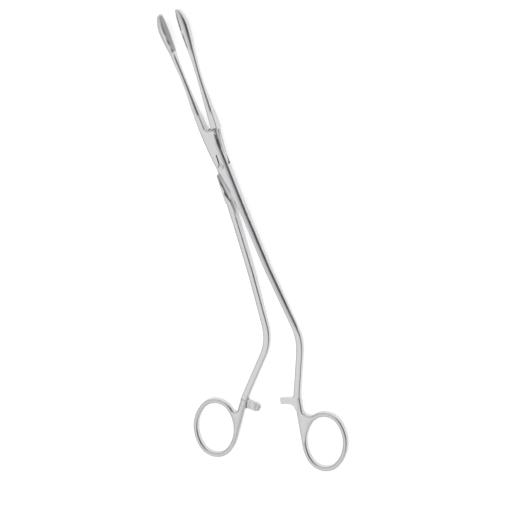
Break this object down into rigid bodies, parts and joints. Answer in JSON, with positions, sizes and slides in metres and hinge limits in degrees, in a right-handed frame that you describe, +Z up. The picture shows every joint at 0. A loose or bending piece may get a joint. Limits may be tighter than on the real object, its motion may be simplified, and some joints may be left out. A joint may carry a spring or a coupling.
{
  "type": "dressing forceps",
  "caption": "Long box-lock dressing forceps with serrated jaws, a hook-tooth ratchet and finger rings; the handles bend to one side.",
  "frame": {"origin": "on the pivot axis, in the plane the instrument lies on", "axes": "+Z up out of the table, +Y from the pivot towards the jaw tips, +X towards the straighter handle's side"},
  "size_m": [0.0797, 0.2496, 0.0065],
  "materials": {
    "steel": "satin",
    "pin_steel": "satin"
  },
  "bodies": {
    "box_side": {"box_half": "steel", "pivot_pin": "pin_steel"},
    "tongue_side": {"tongue_half": "steel"}
  },
  "joints": [
    {"name": "pivot", "type": "hinge", "parent": "box_side", "child": "tongue_side", "pos_m": [0, 0, 0], "axis": [0, 0, -1], "range_deg": [-5.6, 25]}
  ]
}
